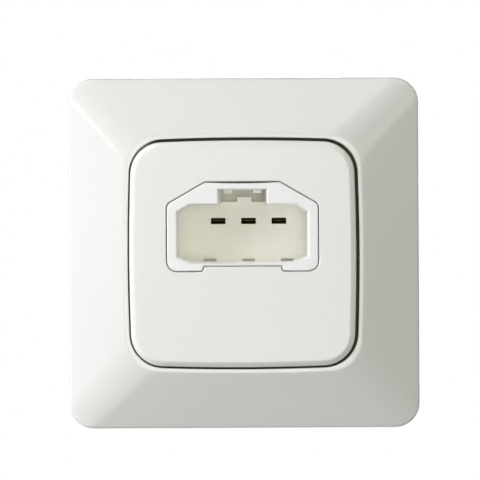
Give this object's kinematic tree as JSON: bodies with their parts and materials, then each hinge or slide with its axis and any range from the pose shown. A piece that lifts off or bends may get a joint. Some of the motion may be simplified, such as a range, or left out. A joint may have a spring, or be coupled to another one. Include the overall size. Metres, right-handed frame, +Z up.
{
  "type": "lighting connection outlet",
  "caption": "Flush wall outlet for a luminaire plug: square frame with sloping faces, centre plate and a house-shaped socket with flat contact slots and a latch window.",
  "frame": {"origin": "centre of the wall box screw pattern, on the rear face of the support plate, which lies on the wall", "axes": "+X to the right, +Z up, +Y into the wall, so the front faces -Y"},
  "size_m": [0.085, 0.0317, 0.085],
  "materials": {
    "frame_plastic": "smooth satin gloss, warm white",
    "plate_plastic": "smooth satin gloss, warm white",
    "housing_plastic": "smooth satin, neutral white",
    "carrier_plastic": "matt, cream",
    "cover_plastic": "matt, pale grey",
    "sheet_steel": "zinc plated",
    "screw_steel": "zinc plated",
    "contact_brass": "plain rolled strip",
    "spring_steel": "bright rolled strip"
  },
  "bodies": {
    "root": {"cover_frame": "frame_plastic", "centre_plate": "plate_plastic", "outlet_housing": "housing_plastic", "contact_carrier": "carrier_plastic", "rear_cover": "cover_plastic", "support_plate": "sheet_steel", "housing_screws": "screw_steel", "left_contact": "contact_brass", "left_upper_spring": "spring_steel", "left_lower_spring": "spring_steel", "middle_contact": "contact_brass", "middle_upper_spring": "spring_steel", "middle_lower_spring": "spring_steel", "right_contact": "contact_brass", "right_upper_spring": "spring_steel", "right_lower_spring": "spring_steel"}
  },
  "joints": []
}
